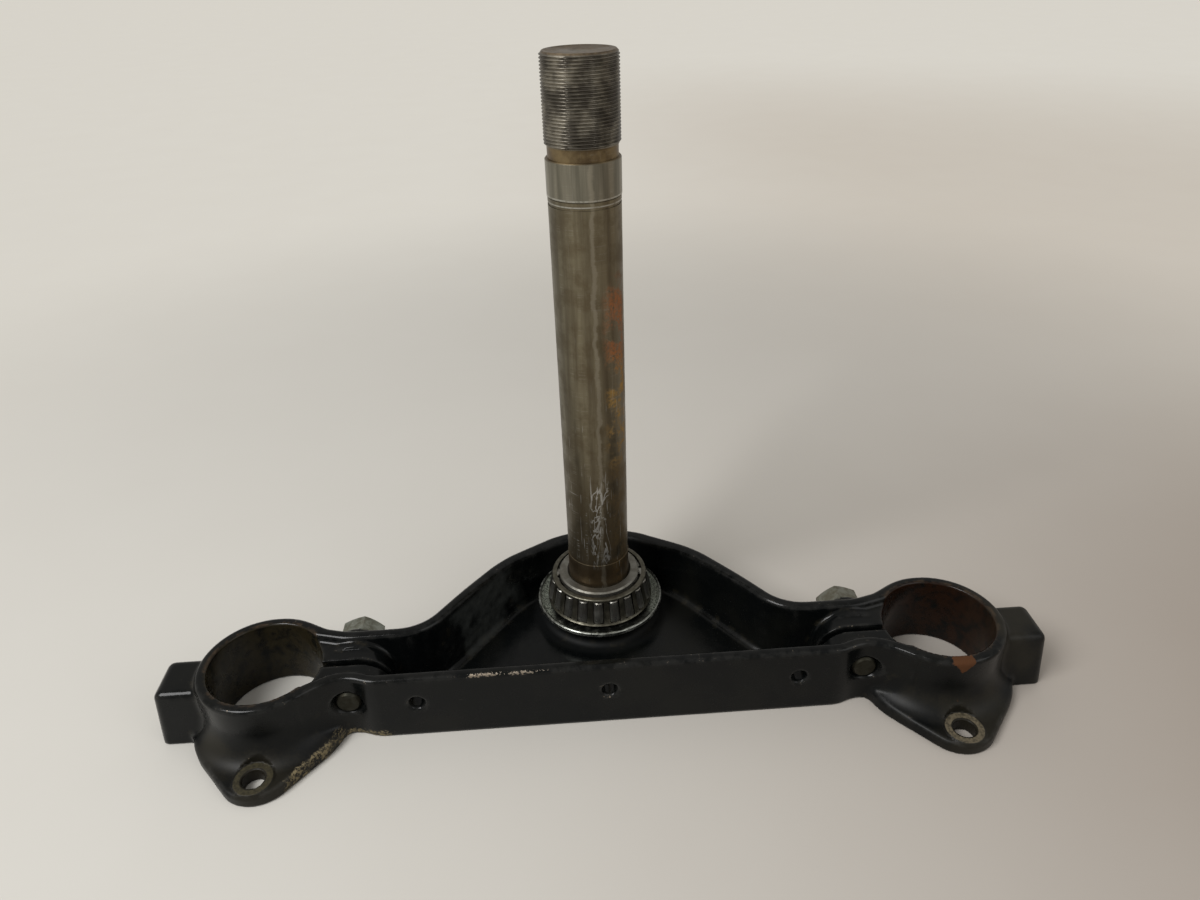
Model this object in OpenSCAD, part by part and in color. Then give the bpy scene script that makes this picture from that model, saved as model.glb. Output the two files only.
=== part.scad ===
// Lower fork bracket of a motorcycle, with its steering stem and lower head bearing.
// Millimetres. Origin: on the stem's axis, in the plane of the bracket's underside.
// +Z runs up the stem, +X to the side, -Y towards the fork tubes and the front face.

/* [Fork tubes] */
// Distance between the two fork tube centres
tube_spacing = 259.2; // [240:0.1:280]
// Distance of the fork tube centres in front of the stem
tube_offset = 46.9; // [42:0.1:52]
// Bore of each fork clamp
tube_d = 41.3; // [38:0.1:43]
// Wall round each fork clamp
clamp_wall = 4.2; // [3:0.1:6]
// Width of the pinch slot
slot_w = 2.6; // [1.5:0.1:4]

/* [Bracket] */
// Height of the bracket's walls
wall_h = 29.1; // [27:0.1:34]
// Thickness of the front and rear walls
wall_t = 4.5; // [3.5:0.1:6]
// Thickness of the floor plate
floor_t = 4; // [3:0.1:6]
// Width of the sloping foot where the floor meets the walls
foot_w = 3.6; // [1:0.1:5]
// Height of that sloping foot
foot_h = 6; // [3:0.1:8]
// Distance of the front face in front of the stem
front_y = 61.3; // [58:0.1:66]
// Distance of the rear nose behind the stem
nose_y = 33; // [32:0.1:36]
// Radius of the rear nose
nose_r = 36; // [34:0.5:42]
// How far the rear wall dips behind the stem
nose_dip = 6.6; // [0:0.1:9]
// Half width of the dip and place of the knee in the rear wall
knee_x = 42; // [38:0.5:46]
// Rounding of the knee
knee_round = 15; // [8:0.5:20]
// Where the rear wall ends its slope, before the pinch lugs
valley_x = 72.6; // [68:0.5:78]
// Rounding where that slope meets the rear face of the lugs
valley_round = 18; // [8:0.5:22]
// Distance of the rear face of the pinch lugs in front of the stem
lug_y = 32.4; // [30:0.1:36]
// Depth of the pinch lugs' tops below the wall tops
lug_drop = 3.1; // [1:0.1:6]
// Distance of the lugs' inner ends from the middle
lug_x = 84; // [82:0.5:88]
// How much closer to the middle the lugs' inner ends lie at the front wall
lug_skew = 2.4; // [0:0.1:4]
// Rounding of the pocket's corners beside the lugs
pocket_round = 3; // [1:0.5:6]
// Rounding of the lugs' inner top edge
lug_round = 12; // [6:0.5:14]
// Radius of the boss that holds the stem
boss_r = 23.5; // [20:0.5:25]
// Height of the boss above the underside
boss_h = 10.3; // [8:0.1:14]
// Fillet round the foot of the boss
boss_fillet = 3; // [1:0.5:5]
// Depth of the waist in the front wall beside each pinch bolt
waist_d = 4.1; // [2:0.1:6]
// Distance of the waist's middle outside the pinch bolt
waist_x = 0.9; // [0:0.1:3]
// Length of the slope from the front face into the waist
waist_l = 10.5; // [8:0.1:12]
// Rounding of the waist
waist_round = 14; // [8:0.5:18]
// Distance from the lugs' rear face corner to the clamp
lug_gap = 3.8; // [2:0.1:6]
// Rounding where the lugs' rear face turns out to the clamp
lug_turn = 22; // [10:1:26]
// Direction on the clamp in which the rear edge runs into it, in degrees
rear_blend = 116; // [108:1:124]
// Direction on the clamp in which the front edge runs into it, in degrees
front_blend = 230.6; // [224:0.1:236]

/* [Front tabs] */
// Reach of each tab in front of its fork tube
tab_reach = 42; // [38:0.5:46]
// Radius of the tab's tip
tab_tip_r = 14; // [12:0.5:16]
// Radius of the flare round the foot of the clamp
tab_root_r = 29.5; // [28:0.5:32]
// Thickness of the tab
tab_t = 5.2; // [4:0.1:7]
// Height at which the flare meets the clamp
tab_blend_h = 17; // [10:0.5:22]
// Width of the flare's concave slope
flare_w = 9; // [5:0.5:12]
// Hole in the tab
tab_hole_d = 8; // [6:0.1:9]
// Distance of the tab hole in front of the tube centre
tab_hole_y = 34.3; // [32:0.1:35]
// Raised seat round the tab hole
tab_seat_d = 14.4; // [12:0.1:17]
// Height of that seat
tab_seat_h = 0.6; // [0.2:0.1:1.5]

/* [Side stops] */
// Reach of each side stop from the middle at its foot
stop_x = 171.5; // [168:0.5:178]
// Width of the stop from front to back
stop_w = 19; // [14:0.5:22]
// Distance of the stop's middle in front of the fork tube's middle
stop_y = 1.6; // [0:0.1:4]
// Height of the stop
stop_h = 26; // [20:0.5:27]
// Slope of its end face, in degrees
stop_draft = 7; // [0:0.5:10]
// Rounding of its top edges
stop_round = 4.5; // [2:0.5:8]

/* [Front holes] */
// Distance of the outer holes from the middle
front_hole_x = 72.2; // [65:0.1:78]
// Diameter of the three front holes
front_hole_d = 5.4; // [4:0.1:7]
// Width of the small chamfer round each front hole
front_hole_c = 1; // [0.4:0.1:1.5]
// Height of the front holes and pinch bolts above the underside
hole_z = 16.5; // [13:0.1:18]

/* [Pinch bolts] */
// Distance of the pinch bolts from the middle
bolt_x = 98.1; // [96:0.1:100]
// Thread diameter of the pinch bolts
bolt_d = 9.5; // [8:0.1:10]
// How far the bolt ends stay behind the front face
bolt_inset = 2.6; // [1:0.1:4]
// Clearance of the pinch bolts behind the slot
bolt_gap = 0.4; // [0.1:0.05:0.6]
// Width of the chamfer round each bolt hole in the front face
bolt_hole_c = 2.5; // [1:0.1:3]
// Depth of that chamfer
bolt_hole_c_h = 4.4; // [2:0.1:5]
// Width across flats of the bolt heads
bolt_af = 16; // [13:0.1:17]
// Height of the bolt heads
bolt_head_h = 7; // [5:0.1:9]
// Diameter of the raised spot face under each bolt head
spot_d = 21; // [17:0.1:21.5]
// Height of that spot face
spot_h = 3; // [1:0.1:4]
// Outer diameter of the lock washers
washer_d = 16.6; // [14:0.1:18]
// Thickness of the lock washers
washer_t = 2.2; // [1.5:0.1:3]
// Width of the split in each lock washer
washer_split = 1.2; // [0.6:0.1:2]

/* [Steering stem] */
// Diameter of the stem's bearing seats and thread
stem_d = 25.4; // [24:0.1:27]
// Diameter of the plain shank between the seats
shank_d = 25; // [23:0.1:25]
// Height of the lower seat above the bearing
low_seat_h = 3.5; // [1:0.1:6]
// Height of the stem above the bracket's underside
stem_h = 230.4; // [200:0.1:260]
// Length of the threaded end
thread_l = 28; // [20:0.1:32]
// Length of the relief below the thread
relief_l = 4; // [2:0.1:6]
// Diameter of the relief
relief_d = 23.6; // [22:0.1:24]
// Length of the upper bearing seat
seat_l = 12.2; // [8:0.1:20]
// Chamfer at the stem's ends
stem_c = 1; // [0.3:0.1:1.5]

/* [Head bearing] */
// Number of rollers
rollers = 19; // [19:1:19]
// Width of the bearing's inner ring
cone_h = 14.7; // [14:0.1:15.5]
// Radius of the inner ring's small end
cone_top_r = 17; // [16.5:0.1:17.5]
// Radius of the inner ring's large rib
cone_rib_r = 19.3; // [18.5:0.1:19.8]
// Depth of the race below the inner ring's small end
race_step = 1.15; // [0.9:0.05:1.4]
// Height of the rollers' middles above the foot of the inner ring
roller_mid_h = 6.9; // [6.6:0.05:7.2]
// Mean radius of a roller
roller_r = 2.43; // [2.2:0.01:2.5]
// Length of a roller
roller_l = 9.4; // [8.5:0.1:9.8]
// Lean of the rollers, in degrees
roller_lean = 11; // [9:0.5:12]
// Half angle of the rollers' own taper, in degrees
roller_taper = 1.6; // [0.5:0.1:2]
// Gap between roller and inner ring
race_gap = 0.05; // [0.02:0.01:0.1]
// Gap between roller and cage
cage_gap = 0.25; // [0.15:0.01:0.35]
// Thickness of the cage's sheet
cage_t = 1.1; // [0.8:0.1:1.4]
// Gap between the cage's turned-in lip and the inner ring
lip_gap = 1.1; // [0.6:0.1:1.6]
// Width of the cage's plain rings beyond the rollers' ends
cage_rim = 0.9; // [0.5:0.1:1.2]
// Outer diameter of the dust shield
shield_d = 53.8; // [50:0.1:55]
// Thickness of the dust shield's sheet
shield_t = 1.2; // [0.8:0.1:1.6]
// Height of the dust shield's turned-up rim
shield_rim_h = 2.6; // [1.5:0.1:3.5]

/* [Hidden] */
function roller_name(k) = str("roller_", k < 10 ? "0" : "", k);

arc_steps = 10;
fine = 96;
over = 1;
tube_x = tube_spacing / 2;
clamp_r = tube_d / 2 + clamp_wall;
stem_r = stem_d / 2;
lug_top = wall_h - lug_drop;
spot_face_y = -lug_y + spot_h;
cone_z = boss_h + shield_t;
cone_top_z = cone_z + cone_h;
// The rollers run on the inner ring, so their circle follows from its race.
roller_z = cone_z + roller_mid_h;
large_r = roller_r + roller_l / 2 * tan(roller_taper);
small_r = roller_r - roller_l / 2 * tan(roller_taper);
race_run = 0.25;
roller_pitch_r = cone_top_r - race_step + sin(roller_lean) * (roller_l / 2 + race_run)
    + cos(roller_lean) * (small_r + race_gap);
cage_mid_r = roller_pitch_r + roller_r - cage_t / 2;
stop_mid_y = -tube_offset - stop_y;
paint = [0.03, 0.03, 0.035];
steel = [0.48, 0.45, 0.4];
bright = [0.62, 0.62, 0.6];
zinc = [0.66, 0.66, 0.62];

// Outlines are lists of corners [x, y, radius]; smooth() turns each corner into an arc.
function unit(v) = v / norm(v);
function xy(c) = [c[0], c[1]];
function turn(a, b, c) = cross(b - a, c - b);
function around(list, i) = list[(i + len(list)) % len(list)];
function slerp(p, q, s) =
    let (w = acos(max(-1, min(1, p * q))))
    w < 0.01 ? p : (sin((1 - s) * w) * p + sin(s * w) * q) / sin(w);
function corner_arc(a, b, c, r) =
    let (u = unit(a - b), v = unit(c - b), half = acos(max(-1, min(1, u * v))) / 2,
         reach = r / tan(half), mid = b + unit(u + v) * r / sin(half))
    [for (i = [0 : arc_steps])
        mid + r * slerp((b + u * reach - mid) / r, (b + v * reach - mid) / r, i / arc_steps)];
function smooth(list) = [for (i = [0 : len(list) - 1])
    let (arc = corner_arc(xy(around(list, i - 1)), xy(list[i]), xy(around(list, i + 1)), list[i][2]))
    each arc];
// Moves every corner of a clockwise outline inwards by d; rounds shrink outside and grow inside.
function inset(list, d) = [for (i = [0 : len(list) - 1])
    let (a = xy(around(list, i - 1)), b = xy(list[i]), c = xy(around(list, i + 1)),
         u = unit(b - a), v = unit(c - b), n = unit([u[1], -u[0]] + [v[1], -v[0]]),
         k = n * [u[1], -u[0]], sign = turn(a, b, c) < 0 ? -1 : 1)
    [b[0] + n[0] * d / k, b[1] + n[1] * d / k, max(0.4, list[i][2] + sign * d)]];
function mirrored(half) = [for (i = [len(half) - 1 : -1 : 0]) [-half[i][0], half[i][1], half[i][2]]];

// Slope of the rear wall from the nose to the knee, tangent to the nose.
nose_lean = 39.7;
nose_apex = nose_y - nose_r + nose_r / sin(90 - nose_lean);
knee_y = nose_apex - knee_x * tan(nose_lean);
// How deep the ends of the rear and front edges lie in the clamp's wall.
rear_depth = 2.85;
front_depth = 0.4;
function on_clamp(angle, depth) =
    [tube_x + (clamp_r - depth) * cos(angle), -tube_offset + (clamp_r - depth) * sin(angle), 1];
beam_half = [
    [knee_x, knee_y, knee_round],
    [valley_x, -lug_y, valley_round],
    [tube_x - clamp_r - lug_gap, -lug_y, lug_turn],
    on_clamp(rear_blend, rear_depth),
    [tube_x, -tube_offset, 1],
    on_clamp(front_blend, front_depth),
    [bolt_x + waist_x, -front_y + waist_d, waist_round],
    [bolt_x + waist_x - waist_l, -front_y, waist_round]];
beam = concat([[0, nose_apex, nose_r]], beam_half, mirrored(beam_half));
pocket_half = [
    [knee_x, knee_y, knee_round],
    [valley_x, -lug_y, valley_round],
    [lug_x + wall_t, -lug_y, pocket_round + wall_t],
    [lug_x + wall_t - lug_skew, -front_y, pocket_round + wall_t]];
pocket = concat([[0, nose_apex, nose_r]], pocket_half, mirrored(pocket_half));

function ring(list, d) = [for (p = smooth(inset(list, d))) [p[0], p[1]]];

module both_sides() {
    for (side = [-1, 1]) mirror([side < 0 ? 1 : 0, 0, 0]) children();
}

module at_tube() { translate([tube_x, -tube_offset, 0]) children(); }

module along_y(x, y0, y1, z, r0, r1, sides = fine) {
    translate([x, y0, z]) rotate([-90, 0, 0]) cylinder(h = y1 - y0, r1 = r0, r2 = r1, $fn = sides);
}

module prism(points, z0, z1) {
    translate([0, 0, z0]) linear_extrude(height = z1 - z0) polygon(points);
}

module beam_body() { prism(ring(beam, 0), 0, wall_h); }

// The pocket steps in at its foot, where the walls thicken towards the floor plate.
module pocket_cut() {
    prism(ring(pocket, wall_t + foot_w), floor_t, floor_t + foot_h + over);
    prism(ring(pocket, wall_t), floor_t + foot_h, wall_h + over);
}

// Space above one pinch lug, between the walls: its top lies below the wall tops and rounds down
// into the pocket.
module lug_top_cut() {
    round_mid = [lug_x + lug_round, lug_top - lug_round];
    low_z = round_mid[1] - 4;
    outer_x = tube_x - tube_d / 2 + 2;
    profile = concat(
        [[lug_x - 2, wall_h + over], [lug_x - 2, low_z], [lug_x, low_z]],
        [for (i = [0 : arc_steps]) let (a = 180 - 90 * i / arc_steps)
            round_mid + lug_round * [cos(a), sin(a)]],
        [[outer_x, lug_top], [outer_x, wall_h + over]]);
    intersection() {
        translate([0, -lug_y, 0]) rotate([90, 0, 0])
            linear_extrude(height = front_y - lug_y) polygon(profile);
        prism(ring(beam, wall_t), 0, wall_h + 2 * over);
    }
}

module clamp_body() {
    r = 1.6;
    inner_r = tube_d / 2 - 3;
    at_tube() rotate_extrude($fn = fine * 2) polygon(concat(
        [[inner_r, 0], [clamp_r, 0], [clamp_r, wall_h - r]],
        [for (a = [0 : 15 : 90]) [clamp_r - r + r * cos(a), wall_h - r + r * sin(a)]],
        [[inner_r, wall_h]]));
}

// Tangent plate between the flare and the tab's tip.
module tab_outline(h) {
    tip_y = -tab_reach + tab_tip_r;
    root_y = tab_root_r * -0.15;
    lean = acos((tab_root_r - tab_tip_r) / (root_y - tip_y));
    translate([0, root_y, 0]) cylinder(h = h, r = tab_root_r, $fn = fine * 2);
    translate([0, tip_y, 0]) cylinder(h = h, r = tab_tip_r, $fn = fine * 2);
    linear_extrude(height = h) polygon([
        [tab_root_r * sin(lean), root_y - tab_root_r * cos(lean)],
        [tab_tip_r * sin(lean), tip_y - tab_tip_r * cos(lean)],
        [-tab_tip_r * sin(lean), tip_y - tab_tip_r * cos(lean)],
        [-tab_root_r * sin(lean), root_y - tab_root_r * cos(lean)]]);
}

module tab() {
    at_tube() {
        tab_outline(tab_t);
        intersection() {
            tab_outline(wall_h - 4);
            rotate_extrude($fn = fine * 2) polygon(concat(
                [[clamp_r - 2, 1], [clamp_r + flare_w, 1]],
                [for (i = [0 : 8]) let (a = 90 * i / 8)
                    [clamp_r + flare_w * (1 - sin(a)), tab_t + (tab_blend_h - tab_t) * (1 - cos(a))]],
                [[clamp_r - 2, tab_blend_h]]));
        }
        translate([0, -tab_hole_y, 0]) cylinder(h = tab_t + tab_seat_h, d = tab_seat_d, $fn = fine);
    }
}

module side_stop() {
    foot_z = 0.4;
    inner_x = tube_x + tube_d / 2 + 1;
    profile = smooth([
        [stop_mid_y - stop_w / 2, foot_z, 1], [stop_mid_y - stop_w / 2, stop_h, stop_round],
        [stop_mid_y + stop_w / 2, stop_h, stop_round], [stop_mid_y + stop_w / 2, foot_z, 1]]);
    difference() {
        translate([inner_x, 0, 0]) rotate([90, 0, 90])
            linear_extrude(height = stop_x - inner_x) polygon(profile);
        translate([stop_x, stop_mid_y, 0]) rotate([0, -stop_draft, 0])
            translate([0, -stop_w, -stop_h]) cube([stop_w, 2 * stop_w, 3 * stop_h]);
    }
}

module stem_boss() {
    foot = boss_fillet;
    edge = 0.5;
    rotate_extrude($fn = fine * 2) polygon(concat(
        [[stem_r - 2, edge], [boss_r + foot, edge]],
        [for (i = [0 : arc_steps]) let (a = 90 * i / arc_steps)
            [boss_r + foot * (1 - sin(a)), floor_t + foot * (1 - cos(a))]],
        [[boss_r, boss_h - edge], [boss_r - edge, boss_h], [stem_r - 2, boss_h]]));
}

module front_hole(x) {
    r = front_hole_d / 2;
    along_y(x, -front_y - over, -front_y + wall_t + over, hole_z, r, r);
    along_y(x, -front_y, -front_y + front_hole_c, hole_z, r + front_hole_c, r);
}

// Cylinder lying across the rear wall, which lowers its top in a shallow arc behind the stem.
module nose_dip_cut() {
    dip_r = (pow(knee_x, 2) + pow(nose_dip, 2)) / (2 * max(0.1, nose_dip));
    along_y(0, 0, nose_y + over, wall_h - nose_dip + dip_r, dip_r, dip_r, fine * 8);
}

// Hole for a pinch bolt: threaded in front of the slot, chamfered at the front face, clear behind.
module pinch_hole() {
    thread_r = bolt_d / 2 + 0.05;
    clear_r = bolt_d / 2 + bolt_gap;
    along_y(bolt_x, -front_y - over, -tube_offset, hole_z, thread_r, thread_r);
    along_y(bolt_x, -front_y, -front_y + bolt_hole_c_h, hole_z, bolt_d / 2 + bolt_hole_c, bolt_d / 2 - 0.2);
    along_y(bolt_x, -tube_offset, spot_face_y + over, hole_z, clear_r, clear_r);
}

module fork_bore() {
    edge = 0.8;
    at_tube() {
        translate([0, 0, -over]) cylinder(h = wall_h + 2 * over, d = tube_d, $fn = fine * 2);
        translate([0, 0, wall_h - edge])
            cylinder(h = edge + 0.2, d1 = tube_d, d2 = tube_d + 2, $fn = fine * 2);
        translate([0, -tab_hole_y, -over]) cylinder(h = tab_t + 3, d = tab_hole_d, $fn = fine);
    }
    translate([lug_x - 4, -tube_offset - slot_w / 2, -over])
        cube([tube_x - lug_x, slot_w, wall_h + 2 * over]);
}

module lower_bracket() color(paint) {
    difference() {
        union() {
            difference() {
                union() {
                    beam_body();
                    both_sides() clamp_body();
                }
                pocket_cut();
                both_sides() lug_top_cut();
                nose_dip_cut();
            }
            both_sides() {
                tab();
                side_stop();
                along_y(bolt_x, -lug_y - 1, spot_face_y, hole_z, spot_d / 2, spot_d / 2 - 0.4);
            }
            stem_boss();
        }
        translate([0, 0, -over]) cylinder(h = wall_h, r = stem_r, $fn = fine * 2);
        both_sides() {
            fork_bore();
            pinch_hole();
            front_hole(front_hole_x);
        }
        front_hole(0);
    }
}

module steering_stem() color(steel) {
    thread_z = stem_h - thread_l;
    seat_top = thread_z - relief_l;
    seat_low = seat_top - seat_l;
    shank_r = shank_d / 2;
    low_seat_top = cone_top_z + low_seat_h;
    groove = 0.3;
    groove_z = seat_low - 2.8;
    rotate_extrude($fn = fine * 2) polygon([
        [0, 0], [stem_r - stem_c, 0], [stem_r, stem_c],
        [stem_r, low_seat_top], [shank_r, low_seat_top + 0.7],
        [shank_r, groove_z], [shank_r - groove, groove_z + groove],
        [shank_r - groove, groove_z + 2 * groove], [shank_r, groove_z + 3 * groove],
        [shank_r, seat_low - 0.4], [shank_r - groove, seat_low - 0.2], [stem_r, seat_low],
        [stem_r, seat_top - 0.4], [stem_r - 0.4, seat_top],
        [relief_d / 2, seat_top + 0.3], [relief_d / 2, thread_z - 0.5],
        [stem_r, thread_z + 0.4], [stem_r, stem_h - stem_c], [stem_r - stem_c, stem_h], [0, stem_h]]);
}

module dust_shield() color(zinc) {
    r = shield_d / 2;
    rim = shield_t * 0.8;
    rotate_extrude($fn = fine * 2) polygon([
        [stem_r + 0.1, boss_h], [r - 2.2, boss_h], [r - 0.5, boss_h + 0.4], [r, boss_h + 1],
        [r, boss_h + shield_rim_h - 0.3], [r - 0.3, boss_h + shield_rim_h],
        [r - rim + 0.2, boss_h + shield_rim_h], [r - rim, boss_h + shield_rim_h - 0.3],
        [r - rim, boss_h + 1.7], [r - rim - 1.2, boss_h + shield_t], [stem_r + 0.1, boss_h + shield_t]]);
}

// A roller's profile is [radius, place along its own axis], with small chamfers at both ends.
roller_axis = [-sin(roller_lean), cos(roller_lean)];
roller_out = [cos(roller_lean), sin(roller_lean)];
function from_roller(along, out) = [roller_pitch_r, roller_z] + roller_axis * along + roller_out * out;

module roller_body(extra) {
    c = 0.3;
    rotate_extrude($fn = 48) polygon([
        [0, -roller_l / 2 - extra], [large_r - c + extra, -roller_l / 2 - extra],
        [large_r + extra, -roller_l / 2 + c - extra], [small_r + extra, roller_l / 2 - c + extra],
        [small_r - c + extra, roller_l / 2 + extra], [0, roller_l / 2 + extra]]);
}

module at_roller(k) {
    rotate([0, 0, 360 / rollers * (k - 1)]) translate([roller_pitch_r, 0, roller_z])
        rotate([0, -roller_lean, 0]) children();
}

module roller(k) color(bright) at_roller(k) roller_body(0);

module bearing_cone() color(bright) {
    edge = 0.6;
    bore_c = 0.9;
    race_low = from_roller(-roller_l / 2 - race_gap, -large_r - race_gap);
    race_top = from_roller(roller_l / 2 + race_run, -small_r - race_gap);
    rib_out = (cone_rib_r - race_low[0]) / cos(roller_lean);
    rib_low = from_roller(-roller_l / 2 - 3 * race_gap, -large_r - race_gap + rib_out);
    rotate_extrude($fn = fine * 2) polygon([
        [stem_r, cone_z], [cone_rib_r - edge, cone_z], [cone_rib_r, cone_z + edge],
        [cone_rib_r, rib_low[1]], race_low,
        race_top, [cone_top_r - edge / 2, race_top[1] + edge], [cone_top_r, race_top[1] + 1.5 * edge],
        [cone_top_r, cone_top_z - edge], [cone_top_r - edge, cone_top_z],
        [stem_r + bore_c, cone_top_z], [stem_r, cone_top_z - bore_c]]);
}

// Pressed sheet cage: a sloping band with one window for each roller and a lip turned in at the top.
module bearing_cage() color(steel) {
    slope = tan(roller_lean);
    half = cage_t / 2;
    edge = 0.2;
    half_l = roller_l / 2 * cos(roller_lean);
    low_z = roller_z - half_l - cage_rim - cage_gap;
    high_z = roller_z + half_l + cage_rim;
    low_r = cage_mid_r + (roller_z - low_z) * slope;
    high_r = cage_mid_r - (high_z - roller_z) * slope;
    lip_r = cone_top_r + lip_gap;
    difference() {
        rotate_extrude($fn = fine * 2) polygon([
            [low_r - half, low_z], [low_r + half, low_z + edge],
            [high_r + half, high_z - edge], [high_r + half - 2 * edge, high_z + cage_t - 2 * edge],
            [high_r, high_z + cage_t], [lip_r, high_z + cage_t],
            [lip_r, high_z], [high_r - half - edge, high_z]]);
        for (k = [1 : rollers]) at_roller(k) roller_body(cage_gap);
    }
}

module pinch_bolt() color(zinc) {
    head_y = spot_face_y + washer_t;
    front = -front_y + bolt_inset;
    shank_l = head_y - front + 1;
    flat_r = bolt_af / 2;
    corner_r = flat_r / cos(30) + 0.1;
    edge = 0.8;
    translate([bolt_x, head_y, hole_z]) rotate([-90, 0, 0]) intersection() {
        rotate([0, 0, 20]) cylinder(h = bolt_head_h, r = flat_r / cos(30), $fn = 6);
        rotate_extrude($fn = fine) polygon([
            [0, 0], [flat_r + edge / 4, 0], [corner_r, edge], [corner_r, bolt_head_h - edge],
            [flat_r - edge / 2, bolt_head_h], [0, bolt_head_h]]);
    }
    translate([bolt_x, front, hole_z]) rotate([-90, 0, 0]) rotate_extrude($fn = fine) polygon([
        [0, 0], [bolt_d / 2 - edge, 0], [bolt_d / 2, edge], [bolt_d / 2, shank_l], [0, shank_l]]);
}

// Split lock washer, cut through on one side.
module lock_washer() color(zinc) {
    hole_r = bolt_d / 2 + 0.2;
    back_y = spot_face_y + washer_t;
    difference() {
        along_y(bolt_x, spot_face_y, back_y, hole_z, washer_d / 2, washer_d / 2);
        along_y(bolt_x, spot_face_y - over, back_y + over, hole_z, hole_r, hole_r);
        translate([bolt_x, spot_face_y + washer_t / 2, hole_z + washer_d / 2]) rotate([0, 25, 20])
            cube([washer_split, washer_t * 3, washer_d], center = true);
    }
}

module left() { mirror([1, 0, 0]) children(); }

lower_bracket();
steering_stem();
dust_shield();
bearing_cone();
bearing_cage();
for (k = [1 : rollers]) roller(k);
left() pinch_bolt();  // pinch_bolt_left
pinch_bolt();  // pinch_bolt_right
left() lock_washer();  // lock_washer_left
lock_washer();  // lock_washer_right
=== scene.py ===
# Lower fork bracket with its steering stem and head bearing: looks of every piece and the studio.
# Millimetres in the dictionaries, metres in the scene. Origin: on the stem's axis, at the underside.
import math
from functools import reduce
import bpy
import numpy as np
from mathutils import Euler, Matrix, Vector


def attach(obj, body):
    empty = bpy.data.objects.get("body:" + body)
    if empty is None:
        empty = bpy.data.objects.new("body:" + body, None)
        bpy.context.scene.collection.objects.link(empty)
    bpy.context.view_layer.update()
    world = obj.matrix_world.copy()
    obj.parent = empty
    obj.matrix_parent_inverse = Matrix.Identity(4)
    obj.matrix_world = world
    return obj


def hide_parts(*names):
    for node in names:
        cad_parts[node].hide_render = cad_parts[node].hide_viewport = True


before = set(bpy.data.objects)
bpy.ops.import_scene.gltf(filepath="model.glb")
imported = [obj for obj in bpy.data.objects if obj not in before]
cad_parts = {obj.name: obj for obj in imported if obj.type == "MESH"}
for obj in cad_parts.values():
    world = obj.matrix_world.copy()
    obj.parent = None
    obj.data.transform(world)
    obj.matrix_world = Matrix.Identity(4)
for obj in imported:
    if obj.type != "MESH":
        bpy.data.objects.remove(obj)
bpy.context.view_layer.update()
mm = 0.001  # in metres
print("frame loaded")

camera = {
    "place": (-0.01105, -0.29313, 0.26323),
    "turn": (58.744, 1.701, -3.623),  # degrees about X, Y and Z
    "lens": 26.03,
    "sensor": 36.0,
}


def addBody(name, data, place, turn):
    body = bpy.data.objects.new(name, data)
    body.location = place
    body.rotation_euler = turn
    bpy.context.collection.objects.link(body)
    return body


def makeCamera():
    data = bpy.data.cameras.new("camera")
    data.lens = camera["lens"]
    data.sensor_width = camera["sensor"]
    data.clip_start = 0.01
    turn = Euler([math.radians(a) for a in camera["turn"]], "XYZ")
    bpy.context.scene.camera = addBody("camera", data, camera["place"], turn)


# Small helpers for shader nodes.
def newMaterial(name):
    material = bpy.data.materials.new(name)
    material.use_nodes = True
    tree = material.node_tree
    tree.nodes.clear()
    shader = tree.nodes.new("ShaderNodeBsdfPrincipled")
    output = tree.nodes.new("ShaderNodeOutputMaterial")
    feed(output.inputs["Surface"], shader.outputs["BSDF"])
    return material, tree, shader, objectCoords(tree)


# Gives an input socket what it reads: another socket, a colour or a number.
def feed(socket, value):
    if isinstance(value, bpy.types.NodeSocket):
        value.id_data.links.new(value, socket)
    elif isinstance(value, tuple):
        socket.default_value = (*value, 1.0)
    else:
        socket.default_value = value


# A new node in the tree that the values' sockets belong to.
def addNode(kind, *values):
    sockets = [value for value in values if isinstance(value, bpy.types.NodeSocket)]
    return sockets[0].id_data.nodes.new("ShaderNode" + kind)


def objectCoords(tree, stretch=(1, 1, 1)):
    coords = tree.nodes.new("ShaderNodeTexCoord")
    if stretch == (1, 1, 1):
        return coords.outputs["Object"]
    mapping = tree.nodes.new("ShaderNodeMapping")
    mapping.inputs["Scale"].default_value = stretch
    feed(mapping.inputs["Vector"], coords.outputs["Object"])
    return mapping.outputs["Vector"]


# Noise; grain is the size of one blot, in millimetres.
def noise(coords, grain, detail, rough, warp=0.0):
    node = addNode("TexNoise", coords)
    node.inputs["Scale"].default_value = 1.0 / (grain * mm)
    node.inputs["Detail"].default_value = detail
    node.inputs["Roughness"].default_value = rough
    node.inputs["Distortion"].default_value = warp
    feed(node.inputs["Vector"], coords)
    return node.outputs["Fac"]


def calc(operation, a, b=0.0, clamp=False):
    node = addNode("Math", a, b)
    node.operation = operation
    node.use_clamp = clamp
    feed(node.inputs[0], a)
    feed(node.inputs[1], b)
    return node.outputs[0]


def times(*values):
    return reduce(lambda a, b: calc("MULTIPLY", a, b), values)


def plus(*values):
    return reduce(lambda a, b: calc("ADD", a, b), values)


def minus(a, b):
    return calc("SUBTRACT", a, b)


def larger(a, b):
    return calc("MAXIMUM", a, b)


def between(value, low, high, outLow=0.0, outHigh=1.0):
    node = addNode("MapRange", value)
    node.interpolation_type = "SMOOTHSTEP"
    feed(node.inputs["Value"], value)
    node.inputs["From Min"].default_value = low
    node.inputs["From Max"].default_value = high
    node.inputs["To Min"].default_value = outLow
    node.inputs["To Max"].default_value = outHigh
    return node.outputs["Result"]


# The mix node keeps its colour sockets behind its number sockets.
def blend(kind, output, numbers, values):
    node = addNode("Mix", *values)
    node.data_type = kind
    for number, value in zip(numbers, values):
        feed(node.inputs[number], value)
    return node.outputs[output]


def blendColor(share, under, over):
    return blend("RGBA", 2, (0, 6, 7), (share, under, over))


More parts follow.
